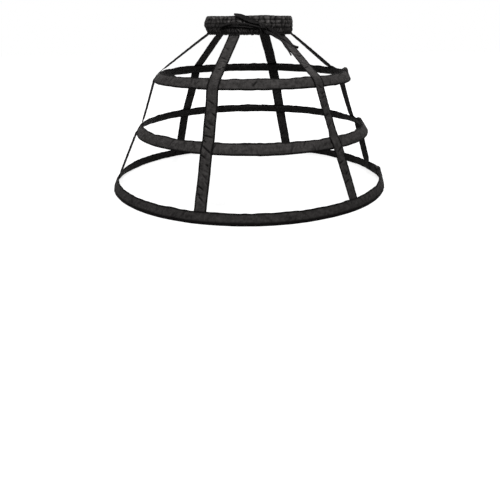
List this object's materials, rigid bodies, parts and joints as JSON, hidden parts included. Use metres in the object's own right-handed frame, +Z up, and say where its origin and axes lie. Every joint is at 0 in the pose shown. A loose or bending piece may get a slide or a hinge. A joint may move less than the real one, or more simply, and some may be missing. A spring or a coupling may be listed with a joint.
{
  "type": "crinoline cage",
  "caption": "Black crinoline cage: boned hoops in cloth casings hang on tapes from a gathered, elasticated waistband with a drawcord bow; it holds a skirt out from the body.",
  "frame": {"origin": "centre of the lowest hoop, on the floor it stands on", "axes": "+Z up along the wearer's body, front of the waistband with the bow towards -Y, +X to the right as seen from the front"},
  "size_m": [0.7154, 0.7154, 0.4072],
  "materials": {
    "band_cloth": "matt woven cloth",
    "casing_cloth": "soft satin",
    "tape_cloth": "soft satin",
    "cord_cloth": "woven tape",
    "elastic": "woven elastic",
    "bone_steel": "coated spring-steel strip",
    "joiner_metal": "plain sheet metal"
  },
  "bodies": {
    "root": {"waistband_casing": "band_cloth", "waist_elastic": "elastic", "drawcord_run": "cord_cloth", "drawcord_knot": "cord_cloth", "drawcord_loop_upper": "cord_cloth", "drawcord_loop_lower": "cord_cloth", "drawcord_tail_long": "cord_cloth", "drawcord_tail_short": "cord_cloth", "drawcord_end_knot": "cord_cloth", "hoop_casing_top": "casing_cloth", "hoop_casing_middle": "casing_cloth", "hoop_casing_bottom": "casing_cloth", "hoop_bone_top": "bone_steel", "hoop_bone_middle": "bone_steel", "hoop_bone_bottom": "bone_steel", "hoop_joiner_top": "joiner_metal", "hoop_joiner_middle": "joiner_metal", "hoop_joiner_bottom": "joiner_metal", "tape_front_left": "tape_cloth", "tape_front_right": "tape_cloth", "tape_right": "tape_cloth", "tape_back_right": "tape_cloth", "tape_back_left": "tape_cloth", "tape_left": "tape_cloth"}
  },
  "joints": []
}
